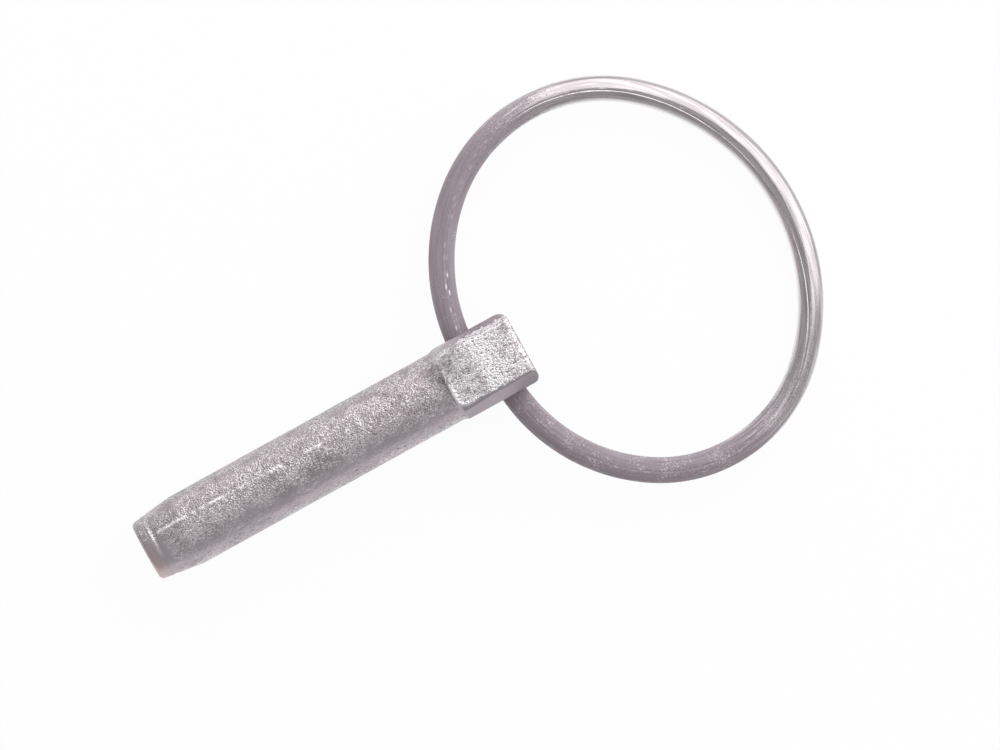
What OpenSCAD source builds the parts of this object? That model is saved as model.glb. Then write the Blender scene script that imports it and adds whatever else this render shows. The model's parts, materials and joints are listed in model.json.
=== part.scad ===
// Lynch pin: a forged pin with a block head, locked by a sprung wire ring that swings in the head.
// The pin lies along X with its tip at -X. The origin is on the shank's axis at the head's front face.

/* [Shank] */
// Diameter of the plain shank
shank_d = 10; // [8:0.5:12]
// Length from the head's front face to the end of the tip
shank_l = 45.5; // [44:0.5:70]

/* [Tip] */
// Length of the whole lead-in, from the end face to the plain shank
tip_l = 6; // [4:0.5:12]
// Diameter at the end face
tip_end_d = 8.4; // [6:0.1:8.6]
// Diameter of the smooth land where it meets the ramp
tip_land_d = 8.66; // [8.5:0.02:9]
// Length of the smooth land
tip_land_l = 1.4; // [0.8:0.1:2]
// Diameter of the collar behind the ramp
tip_collar_d = 9.1; // [9:0.05:9.6]
// Length of the ramp between the land and the collar
tip_ramp_l = 0.5; // [0.2:0.1:0.8]
// Length of the collar
tip_collar_l = 0.7; // [0.2:0.1:1.2]
// Broken edge round the end face
tip_edge = 0.3; // [0.1:0.05:0.8]

/* [Head] */
// Length of the head along the pin
head_l = 11.5; // [11:0.5:16]
// How far the head's sides and underside stand proud of the shank
head_step = 0.25; // [0.1:0.05:1]
// Height of the head's top above the shank
head_rise = 2.3; // [1.5:0.1:5]
// Width of the flat top
top_w = 7.6; // [6:0.1:8.5]
// Height of the sloping strips beside the flat top
slope_h = 2.2; // [1:0.1:3]
// How far the raised nose stands ahead of the side shoulders
nose_l = 0.6; // [0.3:0.1:1.2]
// Corner radius of the nose, seen from above
nose_r = 0.9; // [0.3:0.1:2]
// How far the top falls from its fold to the nose
nose_drop = 0.35; // [0.1:0.05:0.8]
// Distance of the fold across the top from the head's front face
fold_x = 5; // [3:0.1:7]
// Corner radius of the head's outer end on its left side, seen from above
end_left_r = 1.4; // [0.4:0.1:2]
// Corner radius of the head's outer end on its right side, seen from above
end_right_r = 0.9; // [0.4:0.1:2]
// Edge radius along the top and bottom of the outer end
brow_r = 0.7; // [0.2:0.1:1.5]
// Edge radius along the top of the nose
nose_edge_r = 0.4; // [0.1:0.1:1]
// Radius of the two long edges under the head
under_r = 2.5; // [1:0.1:3]
// How far the flare at the shank's root stops short of the head's sides
root_inset = 0.05; // [0.02:0.01:0.08]

/* [Hinge] */
// Distance of the ring's axis behind the head's front face
hinge_x = 5.8; // [5.6:0.1:6.5]
// Height of the ring's axis above the shank's axis
hinge_z = 0.75; // [0:0.05:1]
// Free play round the wire ends in the two blind holes
hinge_play = 0.08; // [0.05:0.01:0.3]
// Thickness of the web that is left between the two holes
web_t = 1.5; // [0.6:0.1:2.5]
// Gap between each wire end and the web
end_play = 0.3; // [0.1:0.05:0.6]
// Chamfer round each hole's mouth
mouth_chamfer = 0.3; // [0.1:0.05:0.5]

/* [Ring] */
// Diameter of the ring's wire
wire_d = 3.5; // [2.5:0.1:3.8]
// Distance from the ring's axis to the middle of the bow's wire
ring_reach = 45.7; // [40:0.1:55]
// Widest point of the ring's left side, from the pin's middle plane
left_w = 27.3; // [24:0.1:32]
// Widest point of the ring's right side, from the pin's middle plane
right_w = 25.9; // [23:0.1:31]
// Angle that the bow's arc turns on the left side
left_bow_angle = 50; // [42:1:62]
// Angle that the bow's arc turns on the right side
right_bow_angle = 44; // [36:1:56]
// Angle that the leg's arc turns on the left side
left_leg_angle = 50; // [44:1:56]
// Angle that the leg's arc turns on the right side
right_leg_angle = 58; // [50:1:64]
// How far each wire end lies off the ring's axis, one ahead and one behind
leg_offset = 1.5; // [1.2:0.05:1.6]
// Distance from the middle plane at which the wire ends become straight
leg_straight = 2.5; // [1.5:0.1:4]

/* [Hidden] */
$fn = 96;

shank_r = shank_d / 2;
wire_r = wire_d / 2;
head_half_w = shank_r + head_step;
head_bottom = -shank_r - head_step;
head_top = shank_r + head_rise;
// The shank runs on into the head, so that the two are one piece.
shank_root = hinge_x;
// Spare length of a cutting tool past the face that it cuts
cut_past = 1;
// Every second stretch of the wire is a hair slimmer and laps into the next, so that they join as one.
seam_step = 0.01;
seam_lap = 0.2;

// The bow's wire touches the plane that the head lies on, which tilts the ring down a little.
ring_tilt = asin((hinge_z - head_bottom - wire_r) / ring_reach);
// Radii of the arcs of each side, as bow, side and leg
left_radii = arc_radii(ring_reach + leg_offset, left_w, left_bow_angle, left_leg_angle);
right_radii = arc_radii(ring_reach - leg_offset, right_w, right_bow_angle, right_leg_angle);

// The right leg leaves its mouth furthest off the axis, and the hole clears it all round.
right_leg_turn = asin((head_half_w - leg_straight) / right_radii[2]);
right_leg_lift = right_radii[2] * (1 - cos(right_leg_turn));
hole_r = leg_offset + right_leg_lift + wire_r / cos(right_leg_turn) + hinge_play;

// Three tangent arcs turn half a circle, from the bow to a wire end that points across the pin.
// Their radii follow from how far they drop along the pin, how wide they go and where they end.
function arc_radii(drop, width, bow_angle, leg_angle) =
    let (
        sb = sin(bow_angle), cb = cos(bow_angle),
        sl = sin(leg_angle), cl = cos(leg_angle),
        rows = [[sb, 1 - sb, 0], [sb, sl - sb, -sl], [1 - cb, cb + cl, 1 - cl]],
        sums = [width, leg_straight, drop]
    )
    [for (column = [0:2]) det3(with_column(rows, column, sums)) / det3(rows)];

function with_column(rows, column, values) =
    [for (i = [0:2]) [for (j = [0:2]) j == column ? values[i] : rows[i][j]]];

function det3(rows) = rows[0] * cross(rows[1], rows[2]);

// A rectangle with its own radius at each corner, from the lower left one anticlockwise
module rounded_rectangle(size, radii) {
    corners = [[0, 0], [1, 0], [1, 1], [0, 1]];
    difference() {
        square(size);
        for (i = [0:3]) {
            r = radii[i];
            inward = [1, 1] - 2 * corners[i];
            corner = [for (k = [0:1]) corners[i][k] * size[k]];
            if (r > 0)
                translate(corner + inward * r)
                    difference() {
                        translate([for (k = [0:1]) inward[k] > 0 ? -r - cut_past : 0])
                            square(r + cut_past);
                        circle(r);
                    }
        }
    }
}

// The shank, with its stepped, tapered tip and a short flare from the nose's face to the side shoulders
module shank() {
    ramp_start = shank_l - tip_land_l;
    collar_start = ramp_start - tip_ramp_l;
    taper_start = collar_start - tip_collar_l;
    root_r = head_half_w - root_inset;
    rotate([0, -90, 0])
        rotate_extrude()
            polygon([
                [0, -shank_root],
                [root_r, -shank_root],
                [root_r, -nose_l],
                [shank_r, 0],
                [shank_r, shank_l - tip_l],
                [tip_collar_d / 2, taper_start],
                [tip_collar_d / 2, collar_start],
                [tip_land_d / 2, ramp_start],
                [tip_end_d / 2, shank_l - tip_edge],
                [tip_end_d / 2 - tip_edge, shank_l],
                [0, shank_l]
            ]);
}

// The head's outline across the pin: sloping strips at the top and round edges underneath
module head_section() {
    height = head_top - head_bottom;
    intersection() {
        translate([-head_half_w, 0])
            rounded_rectangle([2 * head_half_w, height], [under_r, under_r, 0, 0]);
        polygon([
            [-head_half_w, 0],
            [head_half_w, 0],
            [head_half_w, height - slope_h],
            [top_w / 2, height],
            [-top_w / 2, height],
            [-head_half_w, height - slope_h]
        ]);
    }
}

// The full width of the head, behind its side shoulders
module head_body() {
    length = head_l - nose_l;
    height = head_top - head_bottom;
    translate([nose_l, 0, head_bottom])
        intersection() {
            rotate([90, 0, 90])
                linear_extrude(length)
                    head_section();
            translate([0, head_half_w, 0])
                rotate([90, 0, 0])
                    linear_extrude(2 * head_half_w)
                        head_profile(length, height);
            translate([0, -head_half_w, 0])
                linear_extrude(height)
                    rounded_rectangle([length, 2 * head_half_w], [0, end_right_r, end_left_r, 0]);
        }
}

// The head's outline seen from its side: the top falls from its fold towards the nose
module head_profile(length, height) {
    fold_l = fold_x - nose_l;
    difference() {
        rounded_rectangle([length, height], [0, brow_r, brow_r, 0]);
        polygon([
            [-cut_past, height - nose_drop],
            [0, height - nose_drop],
            [fold_l, height],
            [fold_l, height + cut_past],
            [-cut_past, height + cut_past]
        ]);
    }
}

// The raised nose, which stands ahead of the side shoulders on top of the shank
module nose() {
    nose_top = head_top - nose_drop;
    intersection() {
        translate([0, top_w / 2, 0])
            rotate([90, 0, 0])
                linear_extrude(top_w)
                    rounded_rectangle([hinge_x, nose_top], [0, 0, 0, nose_edge_r]);
        translate([0, -top_w / 2, 0])
            linear_extrude(nose_top)
                rounded_rectangle([hinge_x, top_w], [nose_r, 0, 0, nose_r]);
    }
}

// The blind hole for a wire end in each side of the head, with a chamfer round its mouth
module ring_holes() {
    depth = head_half_w - web_t / 2;
    flare = mouth_chamfer + cut_past;
    translate([hinge_x, 0, hinge_z])
        for (side = [-1, 1])
            rotate([90 * side, 0, 0])
                translate([0, 0, web_t / 2]) {
                    cylinder(h = depth + cut_past, r = hole_r);
                    translate([0, 0, depth - mouth_chamfer])
                        cylinder(h = flare, r1 = hole_r, r2 = hole_r + flare);
                }
}

// A stretch of wire bent to an arc in the ring's plane. A slim one laps into its neighbours.
module wire_arc(center, radius, from, to, slim) {
    lap = slim ? seam_lap / radius * 180 / PI : 0;
    translate(center)
        rotate(from - lap)
            rotate_extrude(angle = to - from + 2 * lap)
                translate([radius, 0])
                    circle(slim ? wire_r - seam_step : wire_r);
}

// One side of the ring, from the bow to its straight end in the head
module ring_side(radii, bow_angle, leg_angle, end_x, slim_bow) {
    toward = [cos(bow_angle), sin(bow_angle)];
    bow_center = [ring_reach - radii[0], 0];
    side_center = bow_center + (radii[0] - radii[1]) * toward;
    leg_center = [end_x + radii[2], leg_straight];
    end_y = web_t / 2 + end_play;
    end_l = leg_straight - end_y;
    wire_arc(bow_center, radii[0], 0, bow_angle, slim_bow);
    wire_arc(side_center, radii[1], bow_angle, 180 - leg_angle, !slim_bow);
    wire_arc(leg_center, radii[2], 180 - leg_angle, 180, slim_bow);
    translate([end_x, end_y])
        rotate([-90, 0, 0])
            cylinder(h = slim_bow ? end_l : end_l + seam_lap, r = slim_bow ? wire_r : wire_r - seam_step);
}

module pin() {
    color("#a9a0a4")
        difference() {
            union() {
                shank();
                head_body();
                nose();
            }
            ring_holes();
        }
}

module spring_ring() {
    color("#918a8f")
        translate([hinge_x, 0, hinge_z])
            rotate([0, ring_tilt, 0])
                union() {
                    ring_side(left_radii, left_bow_angle, left_leg_angle, -leg_offset, false);
                    mirror([0, 1, 0])
                        ring_side(right_radii, right_bow_angle, right_leg_angle, leg_offset, true);
                }
}

pin();
spring_ring();
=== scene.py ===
"""A lynch pin as photographed from above: a rough forged pin and the smooth sprung ring in its head."""

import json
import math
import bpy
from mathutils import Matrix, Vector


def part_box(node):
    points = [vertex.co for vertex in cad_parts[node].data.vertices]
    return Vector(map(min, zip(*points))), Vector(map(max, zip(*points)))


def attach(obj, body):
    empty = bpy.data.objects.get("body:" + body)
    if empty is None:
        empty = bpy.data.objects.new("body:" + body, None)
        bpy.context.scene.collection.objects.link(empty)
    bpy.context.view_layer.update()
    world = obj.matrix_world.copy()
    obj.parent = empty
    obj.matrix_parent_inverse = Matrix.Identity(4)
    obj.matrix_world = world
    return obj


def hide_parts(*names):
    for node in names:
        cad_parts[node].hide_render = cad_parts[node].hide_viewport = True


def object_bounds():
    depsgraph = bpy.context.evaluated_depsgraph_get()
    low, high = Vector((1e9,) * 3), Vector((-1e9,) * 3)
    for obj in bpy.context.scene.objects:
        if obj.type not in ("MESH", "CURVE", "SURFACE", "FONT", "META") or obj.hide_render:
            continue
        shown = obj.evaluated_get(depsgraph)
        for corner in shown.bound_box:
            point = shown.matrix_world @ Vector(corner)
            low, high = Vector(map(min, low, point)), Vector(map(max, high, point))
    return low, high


bl_info = {
    "name": "Lynch Pin",
    "version": (1, 0, 0),
    "blender": (4, 5, 0),
    "location": "View3D > Sidebar > Lynch Pin",
    "description": "Builds a zinc-plated lynch pin with its wire ring on a white studio floor",
    "category": "Add Mesh",
}

import bmesh
import bpy
from bpy.props import FloatProperty, FloatVectorProperty, IntProperty, PointerProperty
from mathutils import Matrix, Vector, noise

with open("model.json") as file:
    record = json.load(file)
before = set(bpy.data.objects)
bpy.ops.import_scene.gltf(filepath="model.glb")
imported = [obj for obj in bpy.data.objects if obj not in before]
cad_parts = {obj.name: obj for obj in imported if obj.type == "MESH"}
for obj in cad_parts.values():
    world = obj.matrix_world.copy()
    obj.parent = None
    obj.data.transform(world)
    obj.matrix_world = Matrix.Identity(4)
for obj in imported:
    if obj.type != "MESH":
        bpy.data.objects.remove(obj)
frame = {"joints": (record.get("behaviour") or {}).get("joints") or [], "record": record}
cad_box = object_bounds()

MM = 0.001
MERGE_DISTANCE = 0.001 * MM
TURNING_STEPS = 96
CORNER_STEPS = 8
FLOOR_SIDES = 64
SMOOTHING_FACTOR = 0.5
PIN_LOW, PIN_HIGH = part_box("pin")
RING_LOW, RING_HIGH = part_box("spring_ring")
HINGE = Vector(frame["joints"][0]["pos_m"])
SHANK = frame["record"]["mounts"][0]["dims"]


def length(label, description, millimetres):
    """A length property whose default is given in millimetres."""
    return FloatProperty(
        name=label, description=description, default=millimetres * MM, unit="LENGTH", precision=5
    )


def angle(label, description, degrees):
    """An angle property whose default is given in degrees."""
    return FloatProperty(
        name=label, description=description, default=math.radians(degrees), unit="ROTATION"
    )


def colour(label, description, rgb):
    """A colour property."""
    return FloatVectorProperty(
        name=label, description=description, default=rgb, size=3, subtype="COLOR", min=0, max=1
    )


def level(label, description, value):
    """A plain number property, such as a share or a strength."""
    return FloatProperty(name=label, description=description, default=value)


def count(label, description, value):
    """A whole number property."""
    return IntProperty(name=label, description=description, default=value, min=1)


class ForgedPinSettings(bpy.types.PropertyGroup):
    """Sizes and finish of the forged pin"""

    shank_radius: length("Shank radius", "Radius of the plain shank", SHANK["r_mm"])
    plain_length: length("Plain length", "Length of the shank ahead of the head", SHANK["length_mm"])
    end_radius: length("End radius", "Radius of the tip's end face", 4.2)
    end_edge: length("End edge", "Broken edge round the end face", 0.3)
    land_radius: length("Land radius", "Radius of the smooth land behind the end face", 4.33)
    land_length: length("Land length", "Length of the smooth land", 1.4)
    ramp_length: length("Ramp length", "Length of the ramp behind the land", 0.5)
    collar_radius: length("Collar radius", "Radius of the collar behind the ramp", 4.55)
    collar_length: length("Collar length", "Length of the collar", 0.7)
    bead: length("Bead", "Height of the bead on the ramp and depth of the groove behind it", 0.18)
    # The bead's brighter part, set by its middle, reach and level below, is a painted highlight on the
    # bead's top
    bead_middle: length("Bead middle", "Middle of the worn part of the bead, across the pin", 0.45)
    bead_reach: length("Bead reach", "Half the width of the worn part of the bead", 2.1)
    bead_highlight: level("Bead wear", "How bright the worn part of the bead is", 1 / 3)
    nose_length: length("Nose length", "How far the nose stands ahead of the side shoulders", 0.6)
    nose_radius: length("Nose radius", "Corner radius of the nose seen from above", 1.6)
    nose_edge: length("Nose edge", "Edge radius along the top of the nose", 0.4)
    root_inset: length("Root inset", "How far the shank's flare stops short of the head's sides", 0.05)
    nose_drop: length("Nose drop", "How far the top falls from its fold to the nose", 0.35)
    fold: length("Fold", "Distance of the fold across the top from the nose's face", 5)
    top_width: length("Top width", "Width of the head's flat top", 7.6)
    slope_height: length("Slope height", "Height of the sloping strips beside the flat top", 2.2)
    under_radius: length("Under radius", "Radius of the long edges under the head", 2.5)
    end_left: length("Left end corner", "Corner radius of the outer end on the left side", 1.4)
    end_right: length("Right end corner", "Corner radius of the outer end on the right side", 0.9)
    brow: length("Brow", "Edge radius along the top and bottom of the outer end", 0.7)
    hole_radius: length("Hole radius", "Radius of the blind holes for the wire ends", 3.49)
    hole_chamfer: length("Hole chamfer", "Chamfer round each hole's mouth", 0.3)
    web: length("Web", "Thickness of the web between the two holes", 1.5)
    voxel: length("Voxel", "Cell size of the forged skin", 0.173)
    smoothing: count("Smoothing", "Smoothing passes that round the forged edges", 4)
    grain: length("Grain", "Depth of the sandy grain", 0.03)
    grain_size: length("Grain size", "Width of one grain", 0.5)
    lumps: length("Lumps", "Depth of the forging's unevenness", 0.05)
    lump_size: length("Lump size", "Width of one lump", 3)
    land_roughness: level("Land roughness", "Share of the grain and lumps on the tip's land", 0.25)
    head_roughness: level("Head roughness", "Share of the grain and lumps on the head", 0.5)
    ridge: length("Parting ridge", "Height of the die's parting ridge along the shank", 0.12)
    ridge_width: length("Ridge width", "Half the width of the parting ridge", 0.2)
    ridge_tip: angle("Ridge at the tip", "Angle of the parting ridge off the top at the tip", 20)
    ridge_head: angle("Ridge at the head", "Angle of the parting ridge off the top at the head", 12)
    ridge_gain: level("Ridge gain", "How much more of the parting ridge is left towards the tip", 1.6)
    ridge_loss: level("Ridge loss", "How much of the parting ridge is lost all along", 0.55)
    ridge_breaks: level("Ridge breaks", "Strength of the long breaks in the parting ridge", 1.5)
    # The lip is raised, and is also painted brighter
    lip: length("Lip", "Height of the worn lip along the right half of the nose", 0.1)
    lip_width: length("Lip width", "Half the width of the worn lip", 0.2)
    blend: count("Blend", "Smoothing passes that blend the nose's left half into the shank", 300)
    blend_reach: length("Blend reach", "How far the blend goes before and behind the nose's face", 3)
    blend_start: length("Blend start", "Where the blend starts, across the pin", 0.6)
    base: colour("Zinc", "Sandy zinc of the forging", (0.56, 0.5, 0.53))
    # Dull zinc: the duller patches, and also the painted shade along the shank's left side
    dull: colour("Dull zinc", "Duller patches of the sandy zinc", (0.37, 0.328, 0.347))
    smooth: colour("Smooth zinc", "Zinc where the forging is smooth", (0.46, 0.41, 0.44))
    # Pits: the dark floor of the grain, and also the colour of the painted shade on the head's right strip
    # and the tip's land
    pits_and_shade: colour("Pits", "Dark floor of the grain", (0.27, 0.237, 0.248))
    # Flecks: painted glints on the sand's crystals; the same colour paints the highlight band on the head's
    # top, the highlights along the ridge and the bead, and the bright lip
    flecks: colour("Flecks", "Bright crystals on the grain", (0.97, 0.935, 0.95))
    rust: colour("Rust", "Faint brown tint at the tip", (0.55, 0.43, 0.43))


class WireRingSettings(bpy.types.PropertyGroup):
    """Sizes and finish of the sprung wire ring"""

    wire_radius: length("Wire radius", "Radius of the wire", 1.75)
    left_bow_angle: angle("Left bow angle", "Angle that the bow turns on the left side", 50)
    right_bow_angle: angle("Right bow angle", "Angle that the bow turns on the right side", 44)
    left_leg_angle: angle("Left leg angle", "Angle that the leg turns on the left side", 50)
    right_leg_angle: angle("Right leg angle", "Angle that the leg turns on the right side", 58)
    leg_offset: length("Leg offset", "How far each wire end lies off the hinge axis", 1.5)
    leg_straight: length("Leg straight", "Where the wire ends become straight", 2.5)
    end_gap: length("End gap", "Distance of each wire end from the middle plane", 1.05)
    wire_sides: count("Wire sides", "Sides of the wire's section", 90)
    bend_step: length("Bend step", "Length of one step along the wire", 0.32)
    crowding: level("Crowding", "How much the section's points crowd round the seam", 0.6)
    seam: length("Seam", "Depth of the drawing seam along the wire", 0.08)
    seam_width: length("Seam width", "Half the width of the drawing seam", 0.09)
    dull_seam: level("Dull seam", "Share of the seam's depth that is left where the wire is dull", 0.35)
    burr: length("Burr", "Height of the burrs beside the seam", 0.06)
    burr_length: length("Burr length", "Length of one burr beside the seam", 0.8)
    worn_length: length("Worn length", "Length of the first leg on which the burrs are worn bright", 14)
    worn_burrs: level("Worn burrs", "How bright the burrs are on that length", 4)
    other_burrs: level("Other burrs", "How bright the burrs are on the rest of the wire", 1.2)
    unevenness: length("Unevenness", "Depth of the wire's unevenness", 0.03)
    uneven_stretch: level("Uneven stretch", "How many times the unevenness is drawn out along the wire", 3)
    polish_start: length("Polish start", "Where the wire becomes polished, along its length", 38)
    polish_end: length("Polish end", "Where the wire becomes dull again, along its length", 109)
    polish_fade: length("Polish fade", "Length over which the polish fades", 14)
    base: colour("Zinc", "Plated zinc of the wire", (0.55, 0.493, 0.528))
    dull: colour("Dull zinc", "Duller streaks and specks on the wire", (0.465, 0.413, 0.443))
    flecks: colour("Flecks", "Bright flecks in the plating", (0.9, 0.87, 0.88))
    polished: colour("Polished zinc", "Zinc where the wire is polished", (0.55, 0.51, 0.525))
    lines: colour("Drawing lines", "Darker lines along the polished wire", (0.4, 0.365, 0.38))
    # Bare sides: a painted reflection of the bright surroundings on the polished wire's sides
    edges: colour("Bare sides", "Zinc rubbed bright on the polished wire's sides", (0.88, 0.85, 0.86))


class StageSettings(bpy.types.PropertyGroup):
    """Floor, light and camera"""

    picture_width: length("Picture width", "Width of the view at the pin's axis", 132.8)
    picture_turn: angle("Picture turn", "How far the picture is turned about the vertical", -28.87)
    centre_x: length("Centre X", "Middle of the picture along the pin", 6.97)
    centre_y: length("Centre Y", "Middle of the picture across the pin", -2.09)
    camera_height: length("Camera height", "Height of the camera above the pin's axis", 1200)
    floor_radius: length("Floor radius", "Radius of the round floor", 3000)
    floor_colour: colour("Floor", "Pale floor", (0.93, 0.93, 0.93))
    floor_white: level("Floor white", "Share of the floor that shows plain white", 0.95)
    surroundings: level("Surroundings", "Level of the surroundings, where 1 is white", 0.53)
    window_distance: length("Window distance", "Distance of the window panel", 600)
    window_height: angle("Window height", "Height above the floor that the window faces from", 26.5)
    window_turn: angle("Window turn", "Direction of the window, from the picture's right", 57)
    window_roll: angle("Window roll", "How far the panel's right side is raised", 30)
    window_shift: length("Window shift", "How far the panel is moved along its width to the left", 330)
    window_width: length("Window width", "Width of the window panel", 1740)
    window_depth: length("Window depth", "Height of the window panel", 1200)
    window_power: level("Window power", "Power of the window light in watts", 10.6)


class LynchPinSettings(bpy.types.PropertyGroup):
    """All settings of the part and its stage"""

    pin: PointerProperty(type=ForgedPinSettings)
    ring: PointerProperty(type=WireRingSettings)
    stage: PointerProperty(type=StageSettings)


def settings():
    """The scene's settings for the pin, the ring and the stage."""
    return bpy.context.scene.lynch_pin


# Mesh helpers


def close_up(bm):
    """Merges doubles and turns all faces outwards."""
    bmesh.ops.remove_doubles(bm, verts=bm.verts, dist=MERGE_DISTANCE)
    bmesh.ops.recalc_face_normals(bm, faces=bm.faces)


def new_object(name, bm):
    """Makes an object of a bmesh and frees the bmesh."""
    mesh = bpy.data.meshes.new(name)
    bm.to_mesh(mesh)
    bm.free()
    piece = bpy.data.objects.new(name, mesh)
    bpy.context.scene.collection.objects.link(piece)
    return piece


def apply_modifiers(piece):
    """Replaces a piece's mesh by what its modifiers make of it."""
    evaluated = piece.evaluated_get(bpy.context.evaluated_depsgraph_get())
    mesh = bpy.data.meshes.new_from_object(evaluated)
    old = piece.data
    piece.modifiers.clear()
    piece.data = mesh
    mesh.name = piece.name
    bpy.data.meshes.remove(old)


def shade_smooth(mesh):
    """Shades every face smooth."""
    mesh.polygons.foreach_set("use_smooth", [True] * len(mesh.polygons))


# Unevenness

# The row of the noise that each kind of mark reads, so that no two kinds fall together
WANDER_ROW = 0
SHORT_BREAK_ROW = 4
BURR_ROW = 5
LONG_BREAK_ROW = 9


def noise_along(place, size, row):
    """Noise from -1 to 1 along a line, whose features are about one size long."""
    return noise.noise(Vector((place / size, 0, row)))


def sunk(value):
    """Noise from -1 to 1 as a share of a depth below the skin, from -1 to 0."""
    return (value - 1) / 2


def bell(off, width):
    """A share that is 1 at no distance off a line, and falls away over a width."""
    return math.exp(-((off / width) ** 2))


# The forged pin

GRAIN_FALLOFF, GRAIN_STEP, GRAIN_OCTAVES = 1, 2, 3


def shank_outline(pin):
    """The shank's outline from its root in the head to its tip, as places along X and radii."""
    tip = PIN_LOW.x
    ramp = tip + pin.land_length
    collar = ramp + pin.ramp_length
    taper = collar + pin.collar_length
    root = 2 * pin.nose_length
    root_radius = PIN_HIGH.y - pin.root_inset
    return [
        (root, 0),
        (root, root_radius),
        (pin.nose_length, root_radius),
        (0, pin.shank_radius),
        (-pin.plain_length, pin.shank_radius),
        (taper, pin.collar_radius),
        (collar, pin.collar_radius - pin.bead),
        ((ramp + collar) / 2, pin.land_radius + pin.bead),
        (ramp, pin.land_radius),
        (tip + pin.end_edge, pin.end_radius),
        (tip, pin.end_radius - pin.end_edge),
        (tip, 0),
    ]


def add_shank(bm, pin):
    """Turns the shank from its outline."""
    verts = [bm.verts.new((along, 0, radius)) for along, radius in shank_outline(pin)]
    edges = [bm.edges.new(pair) for pair in zip(verts, verts[1:])]
    bmesh.ops.spin(
        bm,
        geom=verts + edges,
        cent=(0, 0, 0),
        axis=(1, 0, 0),
        angle=math.tau,
        steps=TURNING_STEPS,
        use_merge=True,
    )


def prism(name, outline, place, depth):
    """A straight solid from an outline of (x, y, corner radius) points, drawn out along its own Z."""
    bm = bmesh.new()
    verts = [bm.verts.new((x, y, 0)) for x, y, radius in outline]
    bm.faces.new(verts)
    for vert, (x, y, radius) in zip(verts, outline):
        if radius:
            bmesh.ops.bevel(
                bm,
                geom=[vert],
                offset=radius,
                affect="VERTICES",
                segments=CORNER_STEPS,
                profile=0.5,
                material=-1,
            )
    drawn = bmesh.ops.extrude_face_region(bm, geom=bm.faces[:])
    top = [item for item in drawn["geom"] if isinstance(item, bmesh.types.BMVert)]
    bmesh.ops.translate(bm, verts=top, vec=(0, 0, depth))
    bmesh.ops.transform(bm, matrix=place, verts=bm.verts)
    close_up(bm)
    return new_object(name, bm)


def along_x(start):
    """Places a prism whose outline is drawn in Y and Z, and which runs along X."""
    return Matrix(((0, 0, 1, start), (1, 0, 0, 0), (0, 1, 0, 0), (0, 0, 0, 1)))


def along_y(start):
    """Places a prism whose outline is drawn in X and Z, and which runs along -Y."""
    return Matrix(((1, 0, 0, 0), (0, 0, -1, start), (0, 1, 0, 0), (0, 0, 0, 1)))


def along_z(start):
    """Places a prism whose outline is drawn in X and Y, and which runs along Z."""
    return Matrix.Translation((0, 0, start))


def combine(piece, operation, *tools):
    """Cuts a piece with other objects, or keeps what it shares with them, and removes these."""
    for tool in tools:
        boolean = piece.modifiers.new(tool.name, "BOOLEAN")
        boolean.operation = operation
        boolean.solver = "EXACT"
        boolean.use_self = True
        boolean.object = tool
    apply_modifiers(piece)
    for tool in tools:
        bpy.data.objects.remove(tool)


def head_block(pin):
    """The head's block: where its three outlines, seen from the end, the side and above, cross."""
    start, end = pin.nose_length, PIN_HIGH.x
    low, top, half = PIN_LOW.z, PIN_HIGH.z, PIN_HIGH.y
    strip = top - pin.slope_height
    half_top = pin.top_width / 2
    from_end = [
        (-half, low, pin.under_radius),
        (half, low, pin.under_radius),
        (half, strip, 0),
        (half_top, top, 0),
        (-half_top, top, 0),
        (-half, strip, 0),
    ]
    from_side = [
        (start, low, 0),
        (end, low, pin.brow),
        (end, top, pin.brow),
        (pin.fold, top, 0),
        (start, top - pin.nose_drop, 0),
    ]
    from_above = [
        (start, -half, 0),
        (end, -half, pin.end_right),
        (end, half, pin.end_left),
        (start, half, 0),
    ]
    head = prism("head", from_end, along_x(start), end - start)
    side = prism("head_side", from_side, along_y(half), 2 * half)
    plan = prism("head_plan", from_above, along_z(low), top - low)
    combine(head, "INTERSECT", side, plan)
    combine(head, "DIFFERENCE", hole_drill(pin))
    return head


def nose_block(pin):
    """The raised nose, which stands ahead of the side shoulders on top of the shank."""
    end = 3 * pin.nose_length
    top = PIN_HIGH.z - pin.nose_drop
    half = pin.top_width / 2
    from_side = [(0, 0, 0), (end, 0, 0), (end, top, 0), (0, top, pin.nose_edge)]
    from_above = [
        (0, -half, pin.nose_radius),
        (end, -half, 0),
        (end, half, 0),
        (0, half, pin.nose_radius),
    ]
    nose = prism("nose", from_side, along_y(half), 2 * half)
    plan = prism("nose_plan", from_above, along_z(0), top)
    combine(nose, "INTERSECT", plan)
    return nose


def hole_drill(pin):
    """The shape of the two blind holes with their chamfered mouths."""
    bm = bmesh.new()
    past = MM
    depth = PIN_HIGH.y - pin.web / 2
    flare = pin.hole_chamfer + past
    for side in (-1, 1):
        across = Matrix.Translation(HINGE) @ Matrix.Rotation(-side * math.pi / 2, 4, "X")
        shapes = [
            (pin.web / 2, depth + past, 0),
            (PIN_HIGH.y - pin.hole_chamfer, flare, flare),
        ]
        for start, height, widening in shapes:
            place = across @ Matrix.Translation((0, 0, start + height / 2))
            bmesh.ops.create_cone(
                bm,
                cap_ends=True,
                segments=TURNING_STEPS,
                radius1=pin.hole_radius,
                radius2=pin.hole_radius + widening,
                depth=height,
                matrix=place,
            )
    bmesh.ops.recalc_face_normals(bm, faces=bm.faces)
    return new_object("hole_drill", bm)


def in_hole(co, pin):
    """Whether a place lies on the wall of one of the holes."""
    from_axis = math.hypot(co.x - HINGE.x, co.z - HINGE.z)
    return abs(co.y) < PIN_HIGH.y and from_axis < pin.hole_radius + pin.hole_chamfer


def roughness_of_forging(co, pin):
    """How rough the forging is at a place: less on the tip's land and the head, none in the holes."""
    if co.x < PIN_LOW.x + pin.land_length + pin.ramp_length:
        return pin.land_roughness
    if in_hole(co, pin):
        return 0
    return pin.head_roughness if co.x > pin.nose_length else 1


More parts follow.
